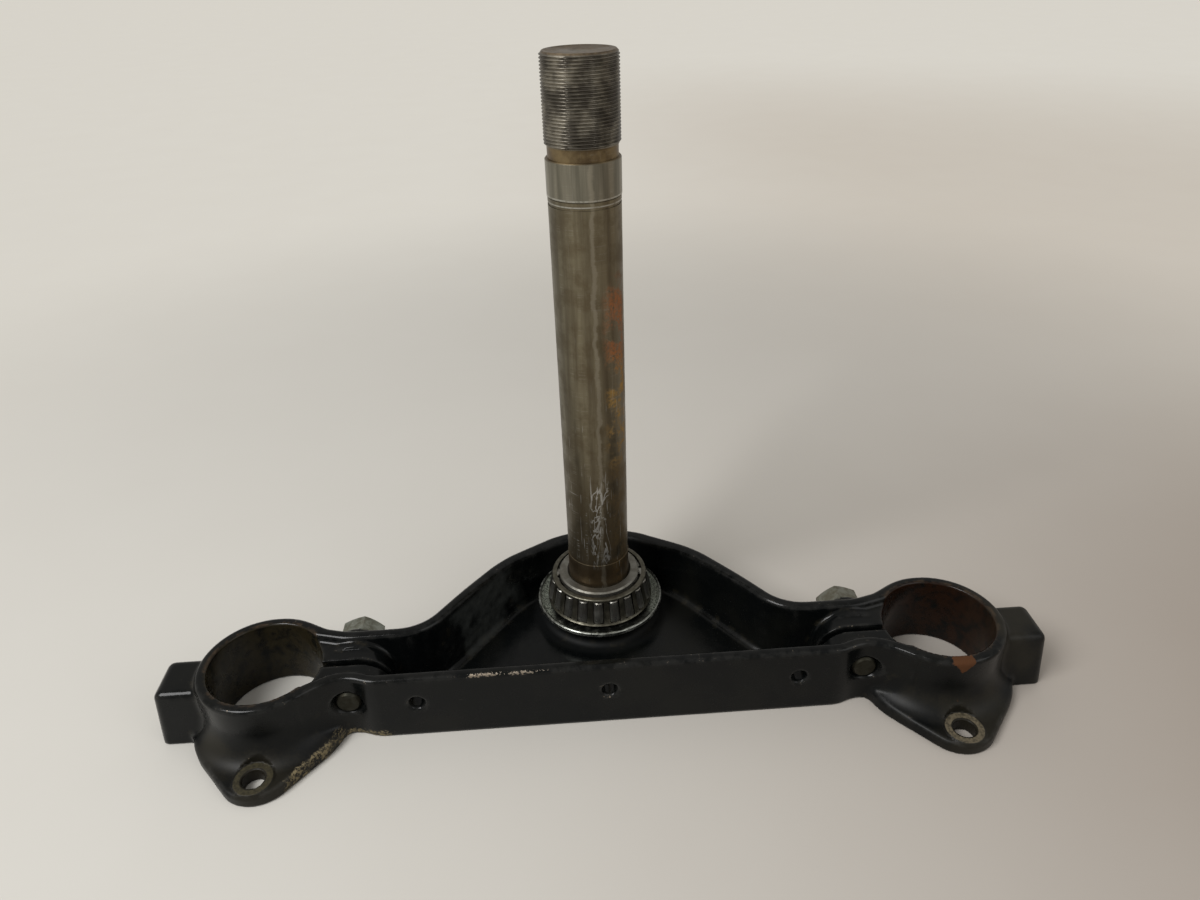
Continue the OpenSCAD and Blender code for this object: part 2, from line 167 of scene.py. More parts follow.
def blendValue(share, under, over):
    return blend("FLOAT", 0, (0, 2, 3), (share, under, over))


# Two tones of one surface, blended where the grain lies between low and high.
def tone(grain, low, high, pair):
    return blendColor(between(grain, low, high), *pair)


def mark(tree, name):
    node = tree.nodes.new("ShaderNodeAttribute")
    node.attribute_name = name
    return node.outputs["Fac"]


def bump(shader, height, depth, strength):
    node = addNode("Bump", height)
    node.inputs["Strength"].default_value = strength
    node.inputs["Distance"].default_value = depth * mm
    feed(node.inputs["Height"], height)
    feed(shader.inputs["Normal"], node.outputs["Normal"])


# A place's coordinates in millimetres.
def axesOf(place):
    parts = addNode("SeparateXYZ", place)
    feed(parts.inputs[0], place)
    return [times(part, 1 / mm) for part in parts.outputs]


# How far a point is from the stem's axis.
def axisDistance(x, y):
    return calc("SQRT", plus(times(x, x), times(y, y)))


# Rounded joins of distance fields: r is the fillet's or the edge's radius.
def unionRound(a, b, r):
    u = np.maximum(r - a, 0)
    v = np.maximum(r - b, 0)
    return np.maximum(r, np.minimum(a, b)) - np.sqrt(u * u + v * v)


def meetRound(a, b, r):
    u = np.maximum(r + a, 0)
    v = np.maximum(r + b, 0)
    return np.minimum(-r, np.maximum(a, b)) + np.sqrt(u * u + v * v)


def cutRound(a, b, r):
    return meetRound(a, -b, r)


def easeStep(low, high, value):
    t = np.clip((value - low) / (high - low), 0, 1)
    return t * t * (3 - 2 * t)


# Rises from 0 to 1 over the first pair of values and falls back to 0 over the second.
def band(value, rise, fall):
    return easeStep(*rise, value) * easeStep(fall[1], fall[0], value)


# Smooth random hills between -1 and 1; grain is the size of one hill, in millimetres.
def hills(x, y, z, grain, seed):
    table = np.random.default_rng(seed).uniform(-1, 1, (32, 32, 32))
    u, v, w = x / grain, y / grain, z / grain
    i, j, k = np.floor(u).astype(int), np.floor(v).astype(int), np.floor(w).astype(int)
    fu, fv, fw = easeStep(0, 1, u - i), easeStep(0, 1, v - j), easeStep(0, 1, w - k)
    total = 0
    for a in (0, 1):
        for b in (0, 1):
            for c in (0, 1):
                share = (fu if a else 1 - fu) * (fv if b else 1 - fv) * (fw if c else 1 - fw)
                total = total + share * table[(i + a) % 32, (j + b) % 32, (k + c) % 32]
    return total


# Corners [x, y, radius] of a closed outline become points, with each corner turned into an arc.
def roundedOutline(corners, chord=1.5):
    points = []
    count = len(corners)
    for i in range(count):
        before = np.array(corners[i - 1][:2], float)
        here = np.array(corners[i][:2], float)
        after = np.array(corners[(i + 1) % count][:2], float)
        radius = corners[i][2]
        u = (before - here) / np.linalg.norm(before - here)
        v = (after - here) / np.linalg.norm(after - here)
        half = math.acos(float(np.clip(u @ v, -1, 1))) / 2
        centre = here + (u + v) / np.linalg.norm(u + v) * radius / math.sin(half)
        start = here + u * radius / math.tan(half) - centre
        end = here + v * radius / math.tan(half) - centre
        sweep = math.atan2(start[0] * end[1] - start[1] * end[0], start @ end)
        steps = max(2, math.ceil(abs(sweep) * radius / chord))
        for k in range(steps + 1):
            turn = sweep * k / steps
            points.append(centre + [start[0] * math.cos(turn) - start[1] * math.sin(turn),
                                    start[0] * math.sin(turn) + start[1] * math.cos(turn)])
    return np.array(points)


# Signed distance to an outline on a flat grid, read between its points by a cubic.
class PlanDistance:
    def __init__(self, points, low, high, step=1.0):
        self.low = low
        self.step = step
        nx = int((high[0] - low[0]) / step) + 4
        ny = int((high[1] - low[1]) / step) + 4
        x = (low[0] + step * np.arange(nx))[:, None]
        y = (low[1] + step * np.arange(ny))[None, :]
        near = np.full((nx, ny), 1e9)
        within = np.zeros((nx, ny), bool)
        for a, b in zip(points, np.roll(points, -1, axis=0)):
            edge = b - a
            along = ((x - a[0]) * edge[0] + (y - a[1]) * edge[1]) / (edge @ edge + 1e-12)
            along = np.clip(along, 0, 1)
            gap = (x - a[0] - along * edge[0]) ** 2 + (y - a[1] - along * edge[1]) ** 2
            near = np.minimum(near, gap)
            crosses = (a[1] > y) != (b[1] > y)
            meets = a[0] + (y - a[1]) * edge[0] / (edge[1] if edge[1] else 1e-12)
            within ^= crosses & (x < meets)
        self.grid = np.sqrt(near) * np.where(within, -1, 1)

    def __call__(self, x, y):
        u = (x - self.low[0]) / self.step
        v = (y - self.low[1]) / self.step
        i = np.clip(np.floor(u).astype(int), 1, self.grid.shape[0] - 3)
        j = np.clip(np.floor(v).astype(int), 1, self.grid.shape[1] - 3)
        wu = cubicWeights(u - i)
        wv = cubicWeights(v - j)
        total = 0
        for a in range(4):
            for b in range(4):
                total = total + wu[a] * wv[b] * self.grid[i + a - 1, j + b - 1]
        return total


def cubicWeights(t):
    return (
        ((2 - t) * t - 1) * t / 2,
        (t * t * (3 * t - 5) + 2) / 2,
        ((4 - 3 * t) * t + 1) * t / 2,
        (t - 1) * t * t / 2,
    )


bracket = {
    "tube": (129.6, -46.9),  # fork tube centre, right side
    "boreR": 20.65,
    "clampR": 24.85,
    "wallTop": 29.1,
    "wallT": 4.5,
    "wallSlant": 4.2,  # how much thicker the walls are at their foot
    "floorT": 4.0,
    "foot": (3.0, 1.2, (9, 22)),  # rounding of the pocket's foot, its loss upwards, and where
    "frontY": -61.3,
    "lugY": -32.4,  # rear face of the pinch lugs
    "lugTop": 26.0,
    "lugX": 84.0,
    "lugLean": 2.4,
    "lugRound": 12.0,
    "noseY": 33.0,
    "noseR": 36.0,
    "noseLean": 39.7,  # degrees
    "noseDip": 6.6,
    "dipReach": 62.0,
    "dipY": (-25, -5),
    "knee": (42.0, 70.0),  # place and rounding of the rear wall's bends
    "valley": (72.6, 18.0),
    "rearJoin": (3.8, 22.0),  # before the clamp, and rounding
    "rearTouch": (9.65, 19.77),  # from the tube's centre
    "frontTouch": (15.52, 18.89),
    "frontJoin": (0.9, 4.1, 14.0),
    "frontBend": (9.6, 14.0),
    "boss": (23.5, 10.3),  # radius and top
    "stemHoleR": 12.75,
    "tabTop": 5.2,
    "tabRoot": (29.5, 4.4),  # radius and place in front of the tube
    "tabTip": (14.0, 28.0),
    "flare": (9.0, 17.0, 9.5),  # width, top and bulge of the concave foot
    "tabHole": (4.0, 34.3),
    "tabSeat": (7.2, 5.8, 0.3),  # radius, top and how much wider the cut above it is
    "stopX": 171.5,
    "stopY": (-48.5, 9.5),  # middle and half width
    "stopTop": 26.0,
    "stopDraft": 7.0,  # degrees
    "stopStart": 1.0,  # outside the fork bore
    "spotFace": (10.5, -29.4, -40.0),  # radius, rear face, and where it starts inside the lug
    "boltX": 98.1,
    "boltHoleR": 5.15,
    "boltEnd": (4.55, 0.61, 4.4),  # recess round the bolt's front end: radius, flare and depth
    "flared": (0.85, 0.8),  # makes flared holes' slopes count as true distances
    "holeZ": 16.5,
    "frontHoles": 72.2,
    "frontHole": (2.7, 0.9, 7.0),  # radius, countersink and depth
    "slotHalf": 1.3,
    "slotPast": 4.0,  # how far the clamps' slots run past the lugs
    "edges": {"wall": 1.7, "tab": 1.3, "stop": 3.0, "boss": 0.5, "spot": 0.6, "underside": 0.8,
              "bore": 0.9, "tabHole": 0.5, "slot": 0.4, "fine": 0.3},
    "joins": {"floor": 3.0, "seat": 0.4, "clamp": 2.2, "boss": 3.0, "spot": 1.4},
    "skin": (0.03, 9.0, 3),  # height, grain and seed of the cast waves
    "castRough": (0.3, 2.6, 5),
    "castPlace": {"x": (-22, -34), "y": (-40, -30), "z": ((5, 8), (22, 27)), "fromWall": (2.5, 0.5)},
    "cell": 0.95,  # size of one cell while the form is meshed
    "room": ((-176, -94, -2), (176, 38, 32)),
    "faces": 185000,
}


def beamOutline():
    b = bracket
    tubeX, tubeY = b["tube"]
    kneeX, kneeR = b["knee"]
    valleyX, valleyR = b["valley"]
    rearGap, rearR = b["rearJoin"]
    rearX, rearY = b["rearTouch"]
    frontX, frontY = b["frontTouch"]
    joinX, joinY, joinR = b["frontJoin"]
    bendX, bendR = b["frontBend"]
    lean = math.radians(b["noseLean"])
    apex = b["noseY"] - b["noseR"] + b["noseR"] / math.cos(lean)
    half = [
        (kneeX, apex - kneeX * math.tan(lean), kneeR),
        (valleyX, b["lugY"], valleyR),
        (tubeX - b["clampR"] - rearGap, b["lugY"], rearR),
        (tubeX - rearX, tubeY + rearY, 1),
        (tubeX, tubeY, 1),
        (tubeX - frontX, tubeY - frontY, 1),
        (b["boltX"] + joinX, b["frontY"] + joinY, joinR),
        (b["boltX"] - bendX, b["frontY"], bendR),
    ]
    left = [(-x, y, r) for x, y, r in reversed(half)]
    return roundedOutline([(0, apex, b["noseR"])] + half + left)


planDistance = PlanDistance(beamOutline(), *bracket["room"])  # to the walls and clamps seen from above


def tabDistance(x, y):
    rootR, rootY = bracket["tabRoot"]
    tipR, tipY = bracket["tabTip"]
    px = np.abs(x)
    py = -(y + rootY)
    reach = tipY - rootY
    slope = (rootR - tipR) / reach
    side = math.sqrt(1 - slope * slope)
    k = side * py - slope * px
    edge = side * px + slope * py - rootR
    root = np.hypot(px, py) - rootR
    tip = np.hypot(px, py - reach) - tipR
    return np.where(k < 0, root, np.where(k > side * reach, tip, edge))


def forgedForm(x, y, z):
    b = bracket
    edges = b["edges"]
    joins = b["joins"]
    fine = edges["fine"]
    tubeX, tubeY = b["tube"]
    ax = np.abs(x)
    plan = planDistance(x, y)
    fromTube = np.hypot(ax - tubeX, y - tubeY)
    # walls with rounded tops, the rear one dipping behind the stem
    drop = b["noseDip"] * np.cos(np.clip(ax / b["dipReach"], 0, 1) * math.pi / 2) ** 2
    top = z - b["wallTop"] + drop * easeStep(*b["dipY"], y)
    hollow = plan + b["wallT"] + b["wallSlant"] * np.clip((b["wallTop"] - z) / b["wallTop"], 0, 1)
    walls = meetRound(top, -hollow, edges["wall"])
    lugEnd = b["lugX"] - b["lugLean"] * (b["lugY"] - y) / (b["lugY"] - b["frontY"]) - ax
    lug = meetRound(lugEnd, z - b["lugTop"], b["lugRound"])
    floor = unionRound(z - b["floorT"], lug, joins["floor"])
    footR, footLoss, footZ = b["foot"]
    pocket = unionRound(walls, floor, footR - footLoss * easeStep(*footZ, z))
    # clamps with the tabs and their concave foot
    flareW, flareTop, flareBulge = b["flare"]
    across = np.maximum(b["clampR"] + flareW - fromTube, 0) / flareW
    upward = np.maximum(flareTop - z, 0) / (flareTop - b["tabTop"])
    clampForm = (1 - np.sqrt(across ** 2 + upward ** 2)) * flareBulge
    clampForm = meetRound(clampForm, tabDistance(ax - tubeX, y - tubeY), edges["tab"])
    seatR, seatTop, seatGap = b["tabSeat"]
    holeR, holeY = b["tabHole"]
    fromHole = np.hypot(ax - tubeX, y - tubeY + holeY)
    seat = meetRound(fromHole - seatR, z - seatTop, fine)
    clampForm = unionRound(clampForm, seat, joins["seat"])
    form = meetRound(unionRound(plan, clampForm, joins["clamp"]), pocket, edges["wall"])
    # side stops, stem boss and the raised faces under the bolt heads
    stopY, stopHalf = b["stopY"]
    stopEnd = ax - b["stopX"] + z * math.tan(math.radians(b["stopDraft"]))
    stop = meetRound(z - b["stopTop"], stopEnd, edges["stop"])
    stop = meetRound(np.abs(y - stopY) - stopHalf, stop, edges["stop"])
    stop = np.maximum(stop, tubeX + b["boreR"] + b["stopStart"] - ax)
    form = unionRound(form, stop, joins["clamp"])
    fromStem = np.hypot(x, y)
    bossR, bossTop = b["boss"]
    form = unionRound(form, meetRound(fromStem - bossR, z - bossTop, edges["boss"]), joins["boss"])
    fromBolt = np.hypot(ax - b["boltX"], z - b["holeZ"])
    spotR, spotRear, spotStart = b["spotFace"]
    spot = meetRound(fromBolt - spotR, y - spotRear, edges["spot"])
    form = unionRound(form, np.maximum(spot, spotStart - y), joins["spot"])
    # cast skin: slow waves everywhere, rough hills on the inner rear slope on the left
    skinHeight, *skinGrain = b["skin"]
    roughHeight, *roughGrain = b["castRough"]
    c = b["castPlace"]
    inner = easeStep(*c["fromWall"], np.abs(hollow)) * band(z, *c["z"])
    rough = roughHeight * inner * easeStep(*c["x"], x) * easeStep(*c["y"], y)
    form = form - skinHeight * hills(x, y, z, *skinGrain) - rough * hills(x, y, z, *roughGrain)
    form = meetRound(form, -z, edges["underside"])
    # bores, slots and holes
    form = cutRound(form, fromTube - b["boreR"], edges["bore"])
    form = cutRound(form, fromStem - b["stemHoleR"], fine)
    slotEnds = np.maximum(b["lugX"] - b["slotPast"] - ax, ax - tubeX)
    form = cutRound(form, np.maximum(np.abs(y - tubeY) - b["slotHalf"], slotEnds), edges["slot"])
    form = cutRound(form, np.maximum(fromHole - seatR - seatGap, seatTop - z), fine)
    form = cutRound(form, fromHole - holeR, edges["tabHole"])
    # bolt holes with their recesses, and screw holes
    endShare, screwShare = b["flared"]
    endR, endFlare, endDepth = b["boltEnd"]
    flared = fromBolt - endR - endFlare * np.maximum(b["frontY"] + endDepth - y, 0)
    form = cutRound(form, np.maximum(flared * endShare, y - tubeY), edges["slot"])
    form = cutRound(form, np.maximum(fromBolt - b["boltHoleR"], tubeY - y), fine)
    screwR, sink, screwDepth = b["frontHole"]
    for place in (0, b["frontHoles"]):
        fromScrew = np.hypot(ax - place, z - b["holeZ"])
        flared = fromScrew - screwR - np.maximum(b["frontY"] + sink - y, 0)
        screw = np.maximum(flared * screwShare, y - b["frontY"] - screwDepth)
        form = cutRound(form, screw, fine)
    return form


def slopeOf(field, points, reach=0.2):
    x, y, z = points.T
    return np.stack([
        field(x + reach, y, z) - field(x - reach, y, z),
        field(x, y + reach, z) - field(x, y - reach, z),
        field(x, y, z + reach) - field(x, y, z - reach),
    ], axis=1) / (2 * reach)


# Surface nets: one point in each cell that the surface passes, one quad round each crossed edge.
def netMesh(field, low, high, cell):
    axes = [np.arange(low[k], high[k] + cell, cell) for k in range(3)]
    x, y, z = axes[0][:, None, None], axes[1][None, :, None], axes[2][None, None, :]
    value = np.broadcast_to(field(x, y, z), [len(a) for a in axes]).astype(np.float32)
    solid = value < 0
    shape = np.array(value.shape)
    total = np.zeros((*(shape - 1), 3), np.float32)
    count = np.zeros(shape - 1, np.float32)
    crossings = []
    for k in range(3):
        ahead = np.roll(value, -1, axis=k)
        crossed = solid != np.roll(solid, -1, axis=k)
        index = [slice(None)] * 3
        index[k] = slice(-1, None)
        crossed[tuple(index)] = False
        at = np.argwhere(crossed)
        a, b = value[crossed], ahead[crossed]
        place = at.astype(np.float32)
        place[:, k] += a / (a - b)
        crossings.append((at, solid[crossed]))
        others = [n for n in range(3) if n != k]
        for da in (0, 1):
            for db in (0, 1):
                home = at.copy()
                home[:, others[0]] -= da
                home[:, others[1]] -= db
                good = ((home >= 0) & (home < shape - 1)).all(axis=1)
                spot = tuple(home[good].T)
                np.add.at(total, spot, place[good])
                np.add.at(count, spot, 1)
    used = count > 0
    number = np.full(count.shape, -1, int)
    number[used] = np.arange(used.sum())
    points = total[used] / count[used][:, None] * cell + np.array(low)
    quads = []
    for k, (at, startsSolid) in enumerate(crossings):
        p, q = (k + 1) % 3, (k + 2) % 3
        ring = []
        for dp, dq in ((0, 0), (1, 0), (1, 1), (0, 1)):
            home = at.copy()
            home[:, p] -= dp
            home[:, q] -= dq
            ring.append(number[tuple(np.clip(home, 0, shape - 2).T)])
        ring = np.stack(ring, axis=1)
        quads.append(np.where(startsSolid[:, None], ring, ring[:, ::-1]))
    quads = np.concatenate(quads)
    return points, quads[(quads >= 0).all(axis=1)]


def settle(field, points, rounds=2):
    for _ in range(rounds):
        rise = slopeOf(field, points)
        steep = np.maximum((rise ** 2).sum(axis=1), 0.25)
        points = points - rise * (field(*points.T) / steep)[:, None]
    return points


def meshPiece(name, points, faces):
    mesh = bpy.data.meshes.new(name)
    mesh.from_pydata((points * mm).tolist(), [], faces)
    mesh.validate()
    piece = bpy.data.objects.new(name, mesh)
    bpy.context.collection.objects.link(piece)
    return piece


def pointsOf(piece):
    flat = np.empty(len(piece.data.vertices) * 3)
    piece.data.vertices.foreach_get("co", flat)
    return flat.reshape(-1, 3) / mm


def smooth(piece, degrees):
    piece.data.shade_smooth()
    piece.data.set_sharp_from_angle(angle=math.radians(degrees))


def makeBracket():
    points, quads = netMesh(forgedForm, *bracket["room"], bracket["cell"])
    print("bracket net:", len(points), "points")
    piece = meshPiece("bracket_forging", settle(forgedForm, points), quads.tolist())
    thin = piece.modifiers.new("thin", "DECIMATE")
    thin.ratio = min(1.0, bracket["faces"] / (2 * len(quads)))
    bpy.context.view_layer.objects.active = piece
    with bpy.context.temp_override(object=piece):
        bpy.ops.object.modifier_apply(modifier="thin")
    points = settle(forgedForm, pointsOf(piece), 1)
    piece.data.vertices.foreach_set("co", (points * mm).ravel())
    rise = slopeOf(forgedForm, points)
    normals = rise / np.linalg.norm(rise, axis=1)[:, None]
    piece.data.normals_split_custom_set_from_vertices(normals.tolist())
    markBracket(piece, points, normals)
    print("bracket faces:", len(piece.data.polygons))
    return piece


# Where the paint's marks lie: from where a mark starts to where it is full, or to where it ends again.
marks = {
    "bend": (0.9, 0.7, 0.5),  # reach, and the bend that counts as a full edge or hollow
    "bore": (0.7, 0.2),  # outside the bore's radius
    "upperZ": (20, 26),
    "line": {"x": ((-63, -48), (-28, -18)), "y": (-59.8, -60.5), "z": (27.2, 28.2)},
    "speck": {"at": (-1.0, 10.3), "away": (4.0, 1.5), "front": -60},
    "cast": {"x": ((-74, -68), (-38, -32)), "z": ((3, 5.5), (25, 27.5)), "y": (-30, -24),
             "facing": (0.3, -0.1), "fromWall": -10},
    "streak": {"depth": (4.4, 1.0), "x": ((6, 12), (26, 36)), "z": (10, 6)},
    "foot": {"x": ((-112, -103), (-84, -78)), "y": (-53, -56), "z": (8, 2)},
    "haze": {"x": (95, 104), "fromTube": (-12, -20), "z": (24, 8), "stopX": (140, 150), "stopShare": 0.9},
    "drip": {"from": 22.6, "length": 6.0, "wide": 5.2, "tip": 0.4},
    "rim": {"out": (2.0, 0.6), "z": (27.5, 28.6)},
}


# Finds where edges are rubbed, hollows hold dirt, and what each place has of its own.
def markBracket(piece, points, normals):
    x, y, z = points.T
    ax = np.abs(x)
    tubeX, tubeY = bracket["tube"]
    reach, fullEdge, fullHollow = marks["bend"]
    bend = -6 * forgedForm(x, y, z)
    for k in range(3):
        step = np.zeros(3)
        step[k] = reach
        bend = bend + forgedForm(*(points + step).T) + forgedForm(*(points - step).T)
    bend = bend / reach ** 2
    found = {"edge": np.clip(bend / fullEdge, 0, 1), "hollow": np.clip(-bend / fullHollow, 0, 1)}
    outside = np.hypot(ax - tubeX, y - tubeY) - bracket["boreR"]
    # weaker on faces that look up
    found["bore"] = easeStep(*marks["bore"], outside) * easeStep(0, 1, 1.4 - normals[:, 2])
    found["fromHole"] = np.minimum(np.hypot(ax - tubeX, y - tubeY + bracket["tabHole"][1]), 12)
    found["upper"] = easeStep(*marks["upperZ"], z) * np.clip(normals[:, 2], 0, 1)
    # bare line on the front wall's top edge, left of the middle, and specks under the middle hole
    m = marks["line"]
    worn = band(x, *m["x"]) * easeStep(*m["y"], y) * easeStep(*m["z"], z)
    m = marks["speck"]
    speck = easeStep(*m["away"], np.hypot(x - m["at"][0], z - m["at"][1])) * (y < m["front"])
    found["worn"] = np.maximum(worn, speck)
    # rough cast patch on the inner rear slope, left of the bearing
    m = marks["cast"]
    cast = band(x, *m["x"]) * band(z, *m["z"]) * easeStep(*m["y"], y) * easeStep(*m["facing"], normals[:, 1])
    found["cast"] = cast * (planDistance(x, y) > m["fromWall"])
    # tan grime: a streak along the left tab's inner edge to the foot of the front wall
    m = marks["streak"]
    depth = -tabDistance(ax - tubeX, y - tubeY)
    streak = easeStep(*m["depth"], depth) * band(x + tubeX, *m["x"]) * easeStep(*m["z"], z)
    m = marks["foot"]
    foot = band(x, *m["x"]) * easeStep(*m["y"], y) * easeStep(*m["z"], z)
    found["grime"] = np.maximum(streak, foot) * (y < tubeY)
    # haze on the clamps' fronts and the right stop
    m = marks["haze"]
    haze = easeStep(*m["z"], z) * easeStep(*m["fromTube"], y - tubeY) * easeStep(*m["x"], ax)
    found["haze"] = np.maximum(haze, easeStep(*m["stopX"], x) * m["stopShare"])
    # rust on the right clamp's rim, in front, running down in a drop
    m = marks["drip"]
    turn = np.arctan2(y - tubeY, x - tubeX) + math.pi / 2
    wide = m["wide"] * np.clip((z - m["from"]) / m["length"], 0, 1) - m["tip"]
    drip = np.clip(wide - np.abs(turn) * bracket["clampR"], -5, 5)
    found["drip"] = np.where((x > 100) & (outside > 0.3), drip, -5)
    # brown lip round each bore's top edge
    found["rim"] = easeStep(*marks["rim"]["out"], outside) * easeStep(*marks["rim"]["z"], z)
    for name, values in found.items():
        layer = piece.data.attributes.new(name, "FLOAT", "POINT")
        layer.data.foreach_set("value", np.ascontiguousarray(values, dtype=np.float32))


stem = {
    "top": 230.4,
    "r": 12.7,
    "shankR": 12.5,
    "lowSeatTop": 37.0,
    "seat": (186.2, 198.4),
    "groove": (2.35, 0.45, 0.3),  # below the seat, half width and depth
    "undercut": 0.25,
    "seatChamfer": 0.4,
    "reliefR": 11.8,
    "threadLow": 202.4,
    "threadStart": (-0.4, 0.8),
    "pitch": 25.4 / 24,  # 24 threads to the inch
    "threadDepth": 0.62,
    "tooth": (0.12, 0.76),  # flat at the root and width of the slope, as shares
    "chamfer": 1.0,
    "dimple": ((11.0, 0), (10.4, 0.25), (4.0, 0.25), (1.2, 0.9)),  # radius and depth in the top face
    "sides": 120,
}


# Radius of the stem at a height; the thread winds up with the angle.
def stemRadius(z, turn):
    s = stem
    low, high = s["seat"]
    below, half, deep = s["groove"]
    r = np.where(z < s["lowSeatTop"], s["r"], s["shankR"])
    r = np.where(np.abs(z - (low - below)) < half, s["shankR"] - deep, r)
    r = np.where((z > low - s["undercut"]) & (z <= low), s["shankR"] - deep, r)
    r = np.where((z > low) & (z < high), s["r"] - np.maximum(z - high + s["seatChamfer"], 0), r)
    r = np.where(z >= high, s["reliefR"], r)
    phase = (z - s["threadLow"]) / s["pitch"] - turn / (2 * math.pi)
    tooth = np.abs(phase - np.floor(phase) - 0.5) * 2
    flat, width = s["tooth"]
    tooth = np.clip((tooth - flat) / width, 0, 1)
    start, full = s["threadStart"]
    grow = easeStep(s["threadLow"] + start, s["threadLow"] + full, z)
    threaded = s["reliefR"] + (s["r"] - s["reliefR"] - s["threadDepth"] * (1 - tooth)) * grow
    r = np.where(z > s["threadLow"] + start, threaded, r)
    r = np.minimum(r, s["r"] - s["chamfer"] + np.maximum(s["top"] - z, 0))
    return np.minimum(r, s["r"] - s["chamfer"] + z)


def makeStem():
    s = stem
    low, high = s["seat"]
    # heights of the rings of points: each step in the radius has one just below and one just above
    heights = [0, 0.5, s["chamfer"], 12, 27, 31, s["lowSeatTop"] - 0.05, s["lowSeatTop"] + 0.05]
    heights += np.linspace(40, low - 4, 24).tolist()
    below, half, _ = s["groove"]
    for step in (low - below - half, low - below + half, low - s["undercut"], low, high):
        heights += [step - 0.02, step + 0.02]
    heights += [low + 0.4, high - 0.5, high - s["seatChamfer"], high + 2]
    heights += np.arange(s["threadLow"] - 0.6, s["top"] - 0.01, s["pitch"] / 9).tolist()
    heights += [s["top"] - 0.3, s["top"] - 0.1, s["top"]]
    turns = np.linspace(0, 2 * math.pi, s["sides"], endpoint=False)
    z, turn = np.meshgrid(np.unique(heights), turns, indexing="ij")
    r = stemRadius(z, turn)
    points = np.stack([r * np.cos(turn), r * np.sin(turn), z], axis=2).reshape(-1, 3)
    rows, n = z.shape
    k = np.arange(n)
    after = (k + 1) % n
    faces = []
    for row in range(rows - 1):
        a, b = row * n + k, row * n + after
        faces += np.stack([a, b, b + n, a + n], axis=1).tolist()
    # top face with a shallow turned dimple, flat bottom face
    base = (rows - 1) * n
    extra = []
    for radius, deep in s["dimple"]:
        start = len(points) + len(extra)
        extra += [(radius * math.cos(t), radius * math.sin(t), s["top"] - deep) for t in turns]
        faces += np.stack([base + k, base + after, start + after, start + k], axis=1).tolist()
        base = start
    points = np.concatenate([points, np.array(extra)])
    faces.append((base + k).tolist())
    faces.append(k[::-1].tolist())
    piece = meshPiece("steering_stem_turned", points, faces)
    smooth(piece, 35)
    return piece


paint = {
    "black": (0.0018, 0.0023, 0.0024),
    "rubbed": (0.016, 0.016, 0.015),  # paint polished thin on the edges
    "bare": ((0.30, 0.275, 0.235), (0.20, 0.15, 0.10)),  # steel where it is scratched through
    "lip": (0.055, 0.034, 0.018),
    "dirt": (0.185, 0.150, 0.085),
    "film": (0.0060, 0.0060, 0.0045),
    "castGrey": (0.023, 0.0255, 0.024),
    "rust": ((0.080, 0.034, 0.013), (0.075, 0.026, 0.008)),
    "oil": ((0.020, 0.016, 0.008), (0.017, 0.0072, 0.0036)),  # left bore, right bore
    "ring": ((0.040, 0.035, 0.020), (0.120, 0.100, 0.066)),  # left tab, right tab
    "hole": (0.005, 0.0045, 0.0035),
    "gloss": (0.15, 0.30),  # roughness of the clean paint
    "rough": {"film": 0.32, "upper": 0.09, "haze": 0.46, "roundStem": 0.6, "cast": 0.55,
              "bare": 0.38, "dirt": 0.85},
}


